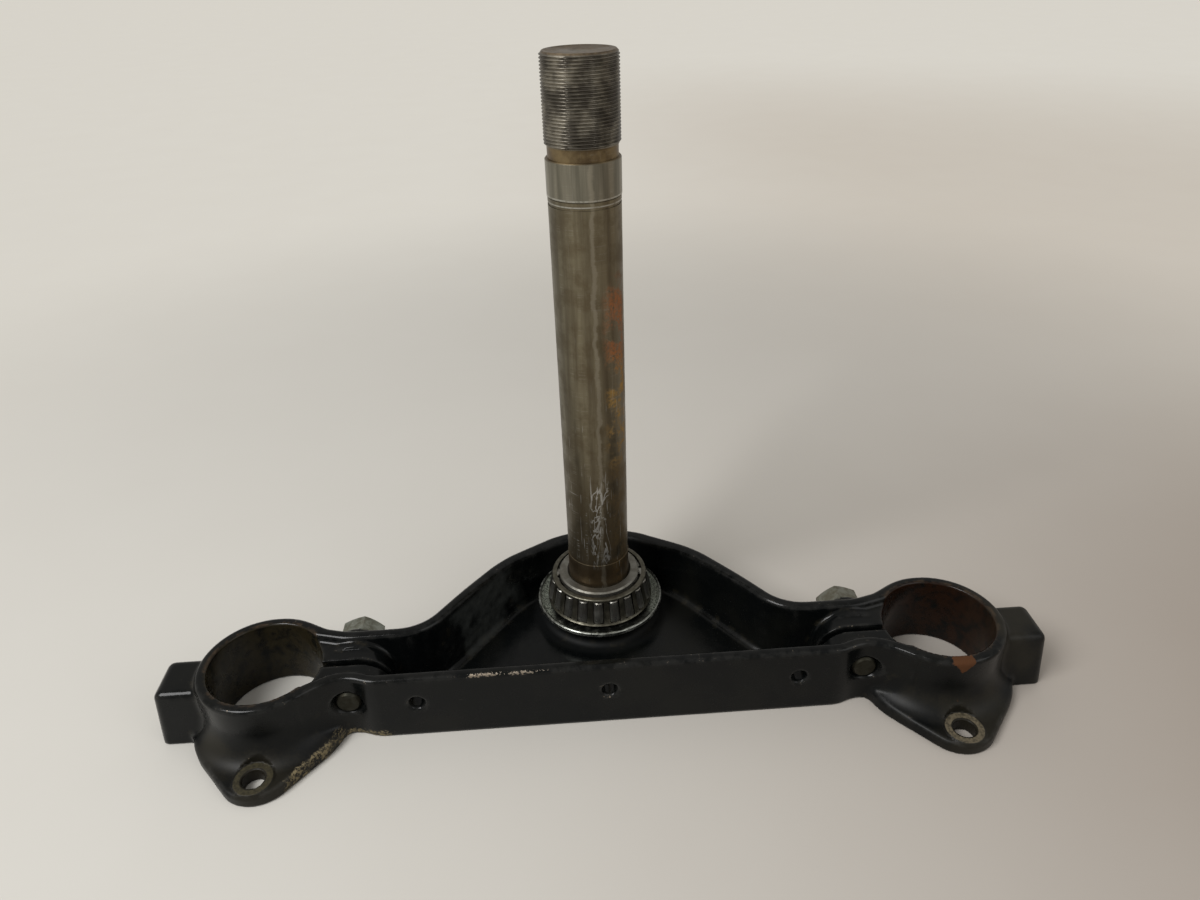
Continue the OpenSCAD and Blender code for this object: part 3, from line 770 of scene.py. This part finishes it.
# Worn gloss paint over cast steel.
def paintMaterial():
    material, tree, shader, place = newMaterial("worn_black_paint")
    x, y, z = axesOf(place)
    p = paint
    fine = noise(place, 0.9, 4, 0.65)
    medium = noise(place, 4.5, 4, 0.6)
    broad = noise(place, 24, 3, 0.5)
    film = between(broad, 0.42, 0.72)
    color = blendColor(times(film, 0.55), p["black"], p["film"])
    # edges: first polished, then bare in short patches
    edge = mark(tree, "edge")
    rubbed = times(edge, between(medium, 0.38, 0.62), 0.75)
    color = blendColor(rubbed, color, p["rubbed"])
    worn = times(mark(tree, "worn"), 0.175)
    wear = plus(times(edge, 0.30), worn, times(fine, 0.75), times(medium, 0.35))
    bare = between(wear, 0.96, 1.02)
    # thin scratches: stretched noise, two directions
    scratches = []
    for stretch in ((0.12, 1, 1), (1, 0.14, 0.5)):
        lines = noise(objectCoords(tree, stretch), 0.55, 2, 0.4)
        lines = between(lines, 0.735, 0.755)
        scratches.append(times(lines, between(medium, 0.52, 0.6)))
    upper = mark(tree, "upper")
    exposed = calc("ADD", times(upper, 0.5), times(edge, 0.4), True)
    exposed = calc("ADD", exposed, 0.08, True)
    bare = larger(bare, times(larger(*scratches), exposed, 0.6))
    color = blendColor(bare, color, blendColor(medium, *p["bare"]))
    # brown lip round each bore
    lip = times(mark(tree, "rim"), between(medium, 0.42, 0.6), 0.7)
    color = blendColor(lip, color, p["lip"])
    # bores with old oil: olive on the left, red-brown on the right
    right = between(x, -10, 10)
    oil = blendColor(right, *p["oil"])
    oil = blendColor(between(medium, 0.4, 0.7), oil, p["black"])
    color = blendColor(times(mark(tree, "bore"), 0.9), color, oil)
    # rings round the tab holes, darker on the left
    fromHole = mark(tree, "fromHole")
    ring = times(between(fromHole, 4.6, 4.9), between(fromHole, 7.1, 6.8))
    ring = times(ring, between(z, 4.8, 5.6), between(fine, 0.35, 0.6, 0.35, 1.0))
    color = blendColor(ring, color, blendColor(right, *p["ring"]))
    color = blendColor(between(fromHole, 4.8, 4.5), color, p["hole"])
    # rough cast patch behind the bearing on the left
    cast = times(mark(tree, "cast"), between(broad, 0.40, 0.50))
    cast = times(cast, between(medium, 0.3, 0.55, 0.5, 1.0))
    color = blendColor(times(cast, 0.85), color, p["castGrey"])
    # grime in streaks, haze and dirt in hollows
    crumbs = noise(place, 0.9, 6, 0.75)
    streaky = noise(objectCoords(tree, (1, 0.55, 1)), 3.2, 3, 0.6)
    grime = times(mark(tree, "grime"), 0.42)
    grime = plus(grime, times(crumbs, 0.6), times(streaky, 0.4))
    grime = between(grime, 0.88, 1.01)
    hazy = mark(tree, "haze")
    haze = plus(times(hazy, 0.30), times(broad, 0.6), times(crumbs, 0.25))
    haze = between(haze, 0.62, 0.80, 0, 0.045)
    hollow = times(mark(tree, "hollow"), between(medium, 0.5, 0.7, 0, 0.06))
    dirt = larger(grime, larger(haze, hollow))
    color = blendColor(dirt, color, p["dirt"])
    # rust running down from the right rim
    rust = plus(mark(tree, "drip"), times(minus(medium, 0.5), 6.0))
    rust = between(rust, 0.0, 0.7)
    color = blendColor(times(rust, 0.9), color, blendColor(fine, *p["rust"]))
    feed(shader.inputs["Base Color"], color)
    feed(shader.inputs["Metallic"], times(bare, 0.85, minus(1.0, dirt)))
    # each share makes the surface rougher or smoother where it lies
    shares = {
        "film": film,
        "upper": times(upper, 0.85),
        "haze": times(hazy, 0.85),
        "roundStem": between(axisDistance(x, y), 31, 27),
        "cast": cast,
        "bare": bare,
        "dirt": larger(dirt, rust),
    }
    rough = between(medium, 0.3, 0.75, *p["gloss"])
    for name, share in shares.items():
        rough = blendValue(share, rough, p["rough"][name])
    feed(shader.inputs["Roughness"], rough)
    shader.inputs["Specular IOR Level"].default_value = 0.18
    height = plus(times(medium, 0.45), times(fine, 0.22))
    height = plus(height, times(plus(dirt, cast), 0.8))
    bump(shader, minus(height, times(bare, 0.25)), 0.12, 0.6)
    return material


# Colours of the stem's steel; pairs are the two tones that its grain blends.
stemLook = {
    "steel": ((0.105, 0.085, 0.054), (0.190, 0.164, 0.108)),
    "blots": (0.092, 0.066, 0.034),
    # painted shade for the stem's left side
    "left": (0.055, 0.056, 0.046),
    "low": (0.070, 0.052, 0.030),
    "seat": ((0.125, 0.117, 0.090), (0.225, 0.208, 0.162)),
    # colour of the painted highlight lines at the seat's foot
    "line": (0.36, 0.35, 0.31),
    "highlightLineZ": (186.6, 184.5),
    "relief": ((0.085, 0.058, 0.030), (0.190, 0.140, 0.072)),
    "thread": ((0.115, 0.103, 0.084), (0.27, 0.247, 0.200)),
    "top": ((0.105, 0.080, 0.052), (0.165, 0.125, 0.080)),
    "dirt": (0.070, 0.045, 0.022),
    "rust": ((0.34, 0.180, 0.018), (0.30, 0.090, 0.014)),
    # painted highlight streak down the stem's front
    "run": (0.33, 0.30, 0.235),
    "scratch": (0.46, 0.45, 0.42),
}


# Turned steel with oil, scratches and light rust; its zones follow the height, in millimetres.
def stemMaterial():
    material, tree, shader, place = newMaterial("turned_stem_steel")
    x, y, z = axesOf(place)
    look = stemLook
    seatLow, seatHigh = stem["seat"]
    threadLow = stem["threadLow"]
    streaks = noise(objectCoords(tree, (1, 1, 0.06)), 2.6, 4, 0.55)
    turned = noise(objectCoords(tree, (0.02, 0.02, 1)), 0.35, 2, 0.5)
    blots = noise(place, 7, 4, 0.6)
    specks = noise(place, 1.1, 4, 0.65)
    color = tone(streaks, 0.25, 0.75, look["steel"])
    color = blendColor(between(blots, 0.42, 0.68, 0, 0.55), color, look["blots"])
    # painted shade: the stem's left side darker and greyer
    color = blendColor(between(x, -4, -11.5, 0, 0.35), color, look["left"])
    color = blendColor(between(z, 110, 60, 0, 0.45), color, look["low"])
    # ground band under the relief, with two painted highlight lines at its foot
    seat = between(z, seatLow - 0.2, seatLow + 0.2)
    seat = times(seat, between(z, seatHigh, seatHigh - 0.4))
    color = blendColor(seat, color, tone(streaks, 0.3, 0.7, look["seat"]))
    # painted highlights: bright lines round the stem at the seat's foot, broken up by the specks
    for highlightLineZ in look["highlightLineZ"]:
        gap = calc("ABSOLUTE", minus(z, highlightLineZ))
        line = times(between(gap, 0.35, 0.15), between(specks, 0.35, 0.55, 0.3, 1.0))
        color = blendColor(line, color, look["line"])
    # relief, dull thread and top face
    relief = between(z, seatHigh - 0.5, seatHigh + 0.1)
    relief = times(relief, between(z, threadLow + 0.4, threadLow - 0.2))
    color = blendColor(relief, color, tone(blots, 0.35, 0.65, look["relief"]))
    thread = between(z, threadLow - 0.2, threadLow + 0.4)
    color = blendColor(thread, color, tone(blots, 0.4, 0.65, look["thread"]))
    top = between(z, stem["top"] - 0.8, stem["top"] - 0.3)
    color = blendColor(top, color, tone(specks, 0.4, 0.6, look["top"]))
    # dirty band above the bearing
    dirty = times(between(z, 25.5, 27), between(z, 40, 33), 0.75)
    color = blendColor(dirty, color, look["dirt"])
    # orange rust on the right, in spots
    rust = times(between(x, 3, 8), between(x, 12.2, 11))
    rust = times(rust, between(blots, 0.40, 0.55), between(specks, 0.30, 0.58))
    rust = times(rust, between(z, 165, 150, 0, 0.9), between(z, 80, 95, 0.15, 1.0))
    color = blendColor(times(rust, 0.85), color, tone(z, 115, 135, look["rust"]))
    # painted highlight: a pale vertical streak down the front, near the middle, for the stem's reflection of
    # the light
    sway = times(minus(blots, 0.5), 4)
    run = calc("ABSOLUTE", plus(minus(x, 1.6), sway))
    run = times(between(run, 1.1, 0.3), between(y, -4, -9))
    run = times(run, between(z, 198.5, 197.5, 0, 0.38))
    color = blendColor(run, color, look["run"])
    # white scratches low on the front, and a few thin ones and nicks all over
    curls = noise(objectCoords(tree, (1, 1, 0.22)), 3.4, 3, 0.55, 1.4)
    curls = calc("ABSOLUTE", minus(curls, 0.52))
    fromMiddle = calc("ABSOLUTE", minus(x, 0.8))
    zone = times(between(z, 82, 72), between(z, 34, 42))
    zone = times(zone, between(fromMiddle, 4.6, 2.8), between(y, -2, -6))
    scratch = times(between(curls, 0.036, 0.014), zone)
    lines = noise(objectCoords(tree, (1, 1, 0.03)), 0.42, 2, 0.4)
    thin = times(between(lines, 0.70, 0.73), between(z, 125, 90, 0.1, 0.8))
    nicks = times(between(turned, 0.60, 0.66), between(streaks, 0.50, 0.62))
    nicks = times(nicks, between(z, 85, 60, 0.12, 0.8), between(z, 37.5, 40))
    scratch = larger(larger(scratch, thin), nicks)
    color = blendColor(times(scratch, 0.92), color, look["scratch"])
    feed(shader.inputs["Base Color"], color)
    feed(shader.inputs["Metallic"], minus(0.85, times(rust, 0.75)))
    rough = between(blots, 0.3, 0.7, 0.34, 0.52)
    rough = blendValue(seat, rough, 0.33)
    feed(shader.inputs["Roughness"], blendValue(rust, rough, 0.85))
    height = plus(times(turned, 0.5), times(specks, 0.35), times(rust, 0.6))
    bump(shader, height, 0.05, 0.5)
    return material


# Bare or plated steel of the small pieces: two tones of it, and what lies on it.
smallMetals = {
    "ring_steel": {"tones": ((0.22, 0.215, 0.19), (0.15, 0.142, 0.12)), "rough": (0.42, 0.52),
                   "dirt": (0.045, 0.036, 0.022), "dirtShare": 0.35, "grain": 4.0},
    "roller_steel": {"tones": ((0.34, 0.335, 0.305), (0.25, 0.24, 0.21)), "rough": (0.27, 0.33),
                     "dirt": (0.050, 0.040, 0.024), "dirtShare": 0.15, "grain": 3.0},
    "cage_steel": {"tones": ((0.130, 0.123, 0.096), (0.075, 0.070, 0.052)), "rough": (0.34, 0.44),
                   "dirt": (0.030, 0.024, 0.013), "dirtShare": 0.6, "grain": 2.5},
    "shield_zinc": {"tones": ((0.075, 0.078, 0.070), (0.026, 0.026, 0.022)), "rough": (0.22, 0.36),
                    "dirt": (0.016, 0.014, 0.010), "dirtShare": 0.75, "grain": 2.2,
                    # rim: painted highlight colour for the rolled rim; grease: pale grease inside it
                    "rim": (0.30, 0.31, 0.28), "grease": (0.26, 0.285, 0.235)},
    "bolt_zinc": {"tones": ((0.28, 0.295, 0.255), (0.15, 0.15, 0.115)), "rough": (0.36, 0.55),
                  "dirt": (0.075, 0.056, 0.030), "dirtShare": 0.5, "grain": 2.8,
                  "oil": (0.016, 0.014, 0.009)},
}


def smallMetal(name):
    look = smallMetals[name]
    material, tree, shader, place = newMaterial(name)
    x, y, _ = axesOf(place)
    blots = noise(place, look["grain"], 4, 0.6)
    specks = noise(place, 0.6, 3, 0.6)
    color = tone(blots, 0.35, 0.65, look["tones"])
    dirt = between(noise(place, look["grain"] * 1.7, 5, 0.65), 0.5, 0.68)
    dirt = times(dirt, look["dirtShare"])
    if "oil" in look:
        # the right head is browner, and the threaded ends in front are dark with oil
        dirt = larger(dirt, between(x, -20, 20, 0, 0.45))
        front = between(y, -42, -46, 0, 0.92)
        color = blendColor(front, color, look["oil"])
        dirt = times(dirt, minus(1.0, front))
    color = blendColor(dirt, color, look["dirt"])
    if "grease" in look:
        # painted highlight along the rim, patchy like wear, and pale grease inside it at both sides
        radius = axisDistance(x, y)
        rim = times(between(radius, 25.8, 26.2), between(blots, 0.38, 0.55, 0.35, 0.9))
        color = blendColor(rim, color, look["rim"])
        sides = between(calc("ABSOLUTE", x), 18.5, 22.5)
        grease = times(sides, between(specks, 0.40, 0.56))
        grease = times(grease, between(radius, 26.2, 25.6, 0, 0.8))
        color = blendColor(grease, color, look["grease"])
        dirt = larger(dirt, grease)
    feed(shader.inputs["Base Color"], color)
    feed(shader.inputs["Metallic"], minus(0.95, times(dirt, 0.6)))
    rough = between(blots, 0.3, 0.7, *look["rough"])
    feed(shader.inputs["Roughness"], blendValue(dirt, rough, 0.55))
    bump(shader, plus(times(blots, 0.5), times(specks, 0.5)), 0.03, 0.4)
    return material


cage = {
    "rollers": 19,
    "middleZ": 18.4,
    "pitchR": 19.1,
    "lean": 11.0,  # degrees
    "rollerR": 2.43,
    "clear": 0.5,  # between a roller and its window
    "sheet": 0.9,
    "sink": 0.7,  # how far the sheet lies inside the rollers' outer line
    "window": (13.75, 23.74),
    "low": [(21.5, 12.66), (22.35, 12.70), (22.5, 12.95), (22.2, 13.25)],
    "high": [(20.05, 23.95), (20.2, 24.2), (20.2, 24.5), (19.95, 24.85), (19.4, 25.0), (18.2, 25.0)],
}


# Pressed sheet cage: rings below and above, narrow bars between the windows that the rollers fill.
def makeCage():
    c = cage
    slope = math.tan(math.radians(c["lean"]))
    bars = np.linspace(*c["window"], 5)
    outerR = c["pitchR"] + c["rollerR"] / math.cos(math.radians(c["lean"])) - c["sink"]
    path = np.array(c["low"] + [(outerR - (z - c["middleZ"]) * slope, z) for z in bars] + c["high"])
    firstBar = len(c["low"])
    lastBar = firstBar + len(bars) - 1
    along = np.gradient(path, axis=0)
    along = along / np.linalg.norm(along, axis=1)[:, None]
    inward = np.stack([-along[:, 1], along[:, 0]], axis=1)
    layers = [path, path + inward * c["sheet"]]
    layers[1][0] = (c["low"][0][0] - 0.05, c["low"][0][1] + c["sheet"])
    layers[1][-1] = (c["high"][-1][0], c["high"][-1][1] - c["sheet"])
    # round the circle: five points across each window and one in the middle of each bar
    across = (-1, -0.5, 0, 0.5, 1)
    windowSteps = len(across) - 1
    perRoller = len(across) + 1
    columns = perRoller * c["rollers"]
    pitch = 2 * math.pi / c["rollers"]
    points = []
    for layer in layers:
        for radius, z in layer:
            away = radius - c["pitchR"] + (z - c["middleZ"]) * slope
            half = math.sqrt(max((c["rollerR"] + c["clear"]) ** 2 - away ** 2, 1.0))
            half = min(half / radius, 0.44 * pitch)
            for k in range(c["rollers"]):
                turns = [k * pitch + half * t for t in across] + [(k + 0.5) * pitch]
                points += [(radius * math.cos(t), radius * math.sin(t), z) for t in turns]
    rows = len(path)
    faces = []

    def addFace(corners, flip):
        face = [(layer * rows + row) * columns + column % columns for layer, row, column in corners]
        faces.append(face[::-1] if flip else face)

    for column in range(columns):
        after = column + 1
        overWindow = column % perRoller < windowSteps
        for row in range(rows - 1):
            if overWindow and firstBar <= row < lastBar:
                continue
            for layer in (0, 1):
                corners = [(layer, row, column), (layer, row, after),
                           (layer, row + 1, after), (layer, row + 1, column)]
                addFace(corners, layer == 1)
        for row in (0, rows - 1):
            addFace([(0, row, column), (1, row, column), (1, row, after), (0, row, after)], row > 0)
        if overWindow:
            for row in (firstBar, lastBar):
                corners = [(0, row, column), (0, row, after), (1, row, after), (1, row, column)]
                addFace(corners, row == firstBar)
        if column % perRoller in (0, windowSteps):
            for row in range(firstBar, lastBar):
                corners = [(0, row, column), (0, row + 1, column), (1, row + 1, column), (1, row, column)]
                addFace(corners, column % perRoller > 0)
    piece = meshPiece("pressed_cage", np.array(points), faces)
    soft = piece.modifiers.new("soft_edges", "BEVEL")
    soft.width = 0.14 * mm
    soft.segments = 2
    soft.angle_limit = math.radians(40)
    smooth(piece, 50)
    return piece


def dress(node, material):
    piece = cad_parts[node]
    piece.data.materials.clear()
    piece.data.materials.append(material)
    smooth(piece, 32)


studio = {
    # floor colours: pale on the left and painted shade on the right
    "floor": ((0.585, 0.570, 0.530), (0.290, 0.238, 0.198)),  # left, right
    "far": ((0.690, 0.662, 0.600), (0.400, 0.325, 0.250)),
    "floorHalf": 14.0,  # metres
    # in millimetres: where the painted shade, darker and browner, of the right side starts and is full
    "rightShadeX": (-180, 420),
    "rightShadeY": (250, -120),
    "rightShadeNear": (1900, 900),
    "rightShadeFront": (-1000, -350),
    "glowFrom": (220, 720),
    "worldStrength": 0.46,
    "worldTint": (1.0, 0.97, 0.92),
    "worldSeen": (0.66, 0.63, 0.57),
    # lamps: places and sizes in metres, power in watts
    "key": {"place": (-0.75, -0.55, 1.05), "aim": (0, -0.03, 0.05), "size": 0.6, "power": 14.5},
    "fill": {"place": (0.9, -0.7, 0.8), "aim": (0, -0.03, 0.05), "size": 0.8, "power": 2.5},
}


def makeLamp(name):
    lamp = studio[name]
    data = bpy.data.lights.new(name, "AREA")
    data.size = lamp["size"]
    data.energy = lamp["power"]
    away = Vector(lamp["place"]) - Vector(lamp["aim"])
    addBody(name, data, lamp["place"], away.to_track_quat("Z", "Y").to_euler())


# Lays one surface over another by a share.
def mixSurface(share, under, over, output):
    both = addNode("MixShader", share)
    for socket, value in zip(both.inputs, (share, under, over)):
        feed(socket, value)
    feed(output.inputs["Surface"], both.outputs["Shader"])


def makeWorld():
    world = bpy.data.worlds.new("soft_room")
    bpy.context.scene.world = world
    world.use_nodes = True
    tree = world.node_tree
    back = tree.nodes["Background"]
    back.inputs["Color"].default_value = (*studio["worldTint"], 1)
    back.inputs["Strength"].default_value = studio["worldStrength"]
    # what the camera sees of the room is as pale as the far floor
    seenBack = tree.nodes.new("ShaderNodeBackground")
    seenBack.inputs["Color"].default_value = (*studio["worldSeen"], 1)
    ray = tree.nodes.new("ShaderNodeLightPath").outputs["Is Camera Ray"]
    mixSurface(ray, back.outputs[0], seenBack.outputs[0], tree.nodes["World Output"])


def makeFloor():
    half = studio["floorHalf"]
    points = np.array([(-half, -half, 0), (half, -half, 0), (half, half, 0), (-half, half, 0)])
    floor = meshPiece("floor", points / mm, [(0, 1, 2, 3)])
    material, tree, shader, place = newMaterial("pale_floor")
    x, y, _ = axesOf(place)
    far = axisDistance(x, y)
    # painted shade: share of the darker, browner floor colour towards the right and the front
    right = times(between(x, *studio["rightShadeX"]), between(y, *studio["rightShadeY"], 0.36, 1.0))
    right = times(right, between(far, *studio["rightShadeNear"]), between(y, *studio["rightShadeFront"]))
    right = plus(right, times(noise(place, 60, 3, 0.5), 0.06))
    feed(shader.inputs["Base Color"], blendColor(right, *studio["floor"]))
    shader.inputs["Roughness"].default_value = 0.75
    # painted light: far from the object the floor glows in its lit colour for the camera and reflections,
    # with the painted shade on the right
    ray = tree.nodes.new("ShaderNodeLightPath").outputs
    seen = larger(ray["Is Camera Ray"], ray["Is Glossy Ray"])
    seen = larger(seen, ray["Is Transmission Ray"])
    share = times(seen, between(far, *studio["glowFrom"]))
    glow = addNode("Emission", share)
    feed(glow.inputs["Color"], blendColor(right, *studio["far"]))
    mixSurface(share, shader.outputs[0], glow.outputs[0], tree.nodes["Material Output"])
    floor.data.materials.append(material)


makeCamera()
makeWorld()
makeFloor()
makeLamp("key")
makeLamp("fill")
bpy.context.scene.view_settings.view_transform = "Standard"
print("camera and studio ready")

forging = makeBracket()
forging.data.materials.append(paintMaterial())
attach(forging, "bracket_and_stem")
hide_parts("lower_bracket")

turnedStem = makeStem()
turnedStem.data.materials.append(stemMaterial())
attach(turnedStem, "bracket_and_stem")
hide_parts("steering_stem")
print("bracket and stem ready")

dress("bearing_cone", smallMetal("ring_steel"))
rollerSteel = smallMetal("roller_steel")
for node in sorted(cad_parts):
    if node.startswith("roller_"):
        dress(node, rollerSteel)
pressedCage = makeCage()
pressedCage.data.materials.append(smallMetal("cage_steel"))
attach(pressedCage, "cage")
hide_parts("bearing_cage")
dress("dust_shield", smallMetal("shield_zinc"))
boltZinc = smallMetal("bolt_zinc")
for side in ("left", "right"):
    dress("pinch_bolt_" + side, boltZinc)
    dress("lock_washer_" + side, boltZinc)
print("bearing and bolts ready")
